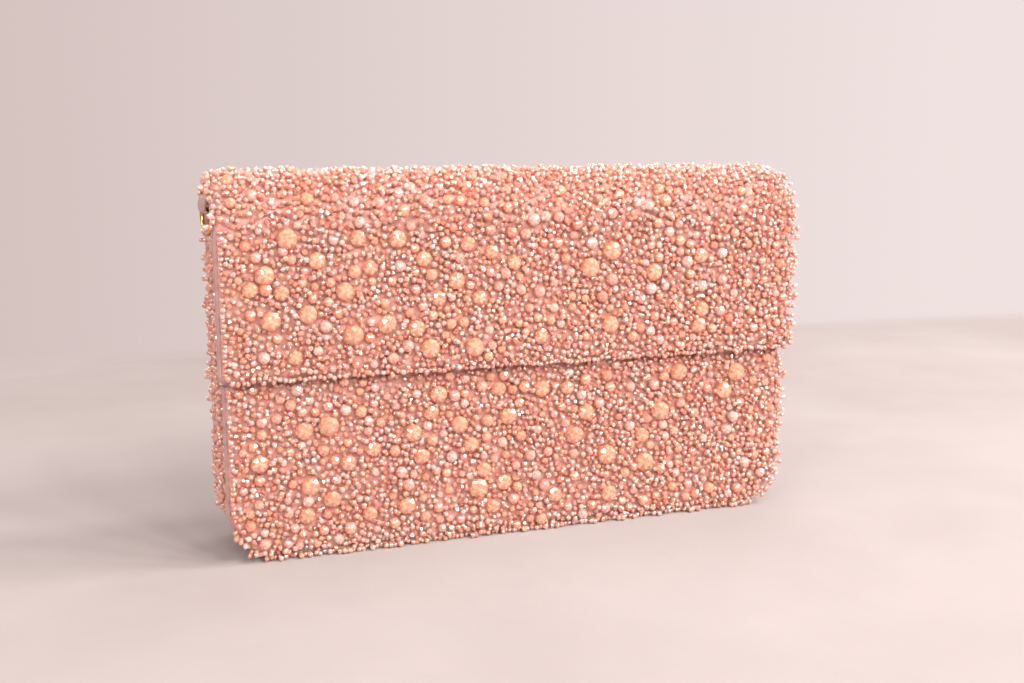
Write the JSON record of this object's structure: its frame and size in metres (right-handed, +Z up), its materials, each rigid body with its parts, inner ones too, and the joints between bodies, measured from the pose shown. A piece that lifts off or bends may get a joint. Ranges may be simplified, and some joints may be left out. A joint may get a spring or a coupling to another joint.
{
  "type": "evening bag",
  "caption": "Box-shaped beaded evening clutch with a full flap over its top, a hidden magnetic closure and a small metal strap ring at each side.",
  "frame": {"origin": "centre of the underside, on the surface that the bag stands on", "axes": "+X along the width, to the right seen from the front; -Y out of the front, where the flap closes; +Z up"},
  "size_m": [0.2486, 0.044, 0.148],
  "materials": {
    "beads": "clear and faceted coral-pink glass beads sewn close together",
    "satin": "dusty pink satin with a soft sheen",
    "lining_satin": "plain pale pink lining satin",
    "board": "grey-brown stiffening board, hidden",
    "wadding": "white felt padding, hidden",
    "magnet": "nickel-plated disc magnet, hidden",
    "gold": "polished pale gold plating"
  },
  "bodies": {
    "body": {"front_board": "board", "back_board": "board", "side_board": "board", "base_board": "board", "back_fold_pad": "wadding", "front_cover": "satin", "back_cover": "satin", "side_cover": "satin", "front_edge": "satin", "back_edge": "satin", "mouth_binding": "satin", "front_beadwork": "beads", "back_beadwork": "beads", "side_beadwork": "beads", "lining": "lining_satin", "back_fold_lining": "lining_satin", "slip_pocket": "lining_satin", "body_magnets": "magnet", "ring_tab_left": "satin", "ring_tab_right": "satin"},
    "flap_top": {"flap_top_pad": "wadding", "flap_top_cover": "satin", "flap_top_lining": "lining_satin", "flap_top_edges": "satin", "flap_top_beadwork": "beads"},
    "flap_front": {"flap_front_board": "board", "flap_front_fold_pad": "wadding", "flap_front_cover": "satin", "flap_front_lining": "lining_satin", "flap_front_edge": "satin", "flap_front_beadwork": "beads", "flap_magnets": "magnet"},
    "ring_left": {"ring_left": "gold"},
    "ring_right": {"ring_right": "gold"}
  },
  "joints": [
    {"name": "flap_hinge", "type": "hinge", "parent": "body", "child": "flap_top", "pos_m": [0, 0.01642, 0.14242], "axis": [-1, 0, 0], "range_deg": [0, 180]},
    {"name": "flap_fold", "type": "hinge", "parent": "flap_top", "child": "flap_front", "pos_m": [0, -0.01642, 0.14242], "axis": [-1, 0, 0], "range_deg": [0, 90]},
    {"name": "ring_left_swing", "type": "hinge", "parent": "body", "child": "ring_left", "pos_m": [-0.121, 0, 0.1346], "axis": [-0.1736, 0.9848, 0], "range_deg": [0, 110]},
    {"name": "ring_right_swing", "type": "hinge", "parent": "body", "child": "ring_right", "pos_m": [0.121, 0, 0.1346], "axis": [-0.1736, -0.9848, 0], "range_deg": [0, 110]}
  ]
}
